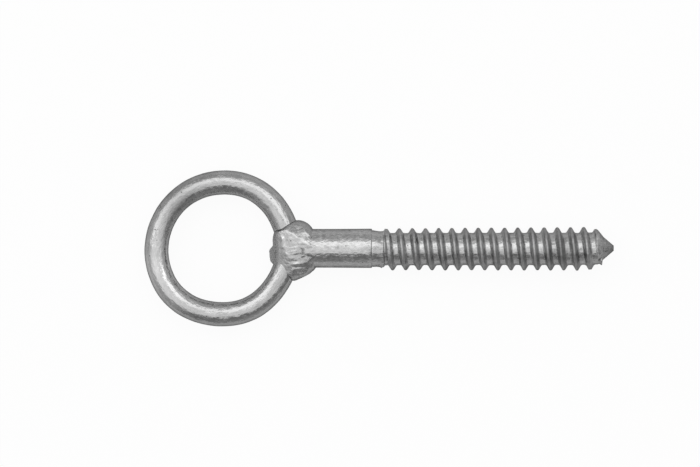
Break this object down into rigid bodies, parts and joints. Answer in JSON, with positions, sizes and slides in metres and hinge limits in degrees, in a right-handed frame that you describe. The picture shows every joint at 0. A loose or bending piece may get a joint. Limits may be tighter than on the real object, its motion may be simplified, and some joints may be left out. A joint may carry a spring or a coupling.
{
  "type": "welded screw eye",
  "caption": "Screw eye: a ring of bent round rod welded to a plain shank with a coarse right-hand lag thread and a blunt cone point, hot-dip galvanised.",
  "frame": {"origin": "the centre of the eye, in the middle of the rod's thickness", "axes": "+X runs from the eye down the shank to the point. The ring lies in the XY plane. +Z is the axis of the eye, and it is up: the screw eye lies flat on its side, on the weld and the thread's crests."},
  "size_m": [0.1512, 0.0504, 0.014],
  "materials": {
    "galvanised_steel": "hot-dip galvanised mild steel, dull silver-grey zinc with runs and small pits",
    "galvanised_weld": "arc-weld bead, left as laid and hot-dip galvanised over"
  },
  "bodies": {
    "root": {"eye_ring": "galvanised_steel", "threaded_shank": "galvanised_steel", "weld_bead": "galvanised_weld"}
  },
  "joints": []
}
